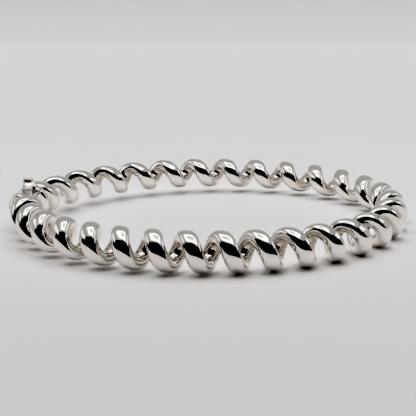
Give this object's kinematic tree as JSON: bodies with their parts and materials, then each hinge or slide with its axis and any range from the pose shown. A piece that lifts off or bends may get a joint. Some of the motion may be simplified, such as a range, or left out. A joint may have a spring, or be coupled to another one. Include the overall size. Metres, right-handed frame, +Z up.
{
  "type": "spiral coil bracelet",
  "caption": "Polished silver bracelet: a round rod wound into a long spring and bent round into a ring, closed by a small box clasp where the two ends meet.",
  "frame": {"origin": "middle of the ring on the surface it lies on", "axes": "+Z up through the wrist opening, +X to the right of the picture, +Y to the back; the clasp is at -X"},
  "size_m": [0.069, 0.071, 0.0083],
  "materials": {
    "polished_silver": "highly polished"
  },
  "bodies": {
    "root": {"coil": "polished_silver", "clasp_box": "polished_silver", "clasp_tongue": "polished_silver"}
  },
  "joints": []
}
